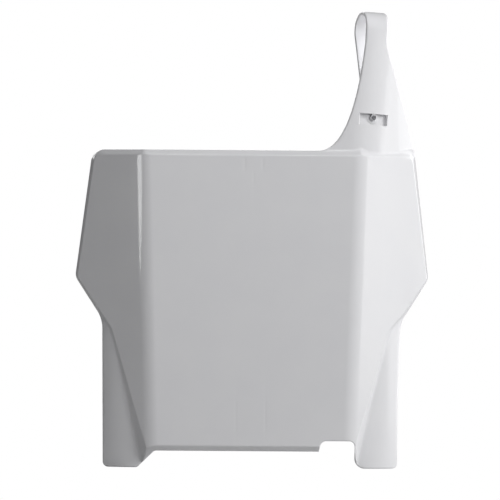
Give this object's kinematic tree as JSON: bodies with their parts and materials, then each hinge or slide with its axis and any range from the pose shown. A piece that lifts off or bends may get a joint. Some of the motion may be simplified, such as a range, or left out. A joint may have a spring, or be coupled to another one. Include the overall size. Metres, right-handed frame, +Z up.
{
  "type": "number board",
  "caption": "White moulded number board for the front of an off-road motorcycle, with bent wings, feet and a strap that loops over the handlebar.",
  "frame": {"origin": "middle of the flat number face, half way between the two bends and on the face's outer surface", "axes": "+Z up as the board hangs on the motorcycle, -Y out of the number face towards the viewer, +X towards the side that carries the neck and strap"},
  "size_m": [0.2625, 0.0437, 0.3442],
  "materials": {
    "white_plastic": "smooth white polypropylene with a low gloss"
  },
  "bodies": {
    "root": {"number_board": "white_plastic"}
  },
  "joints": []
}
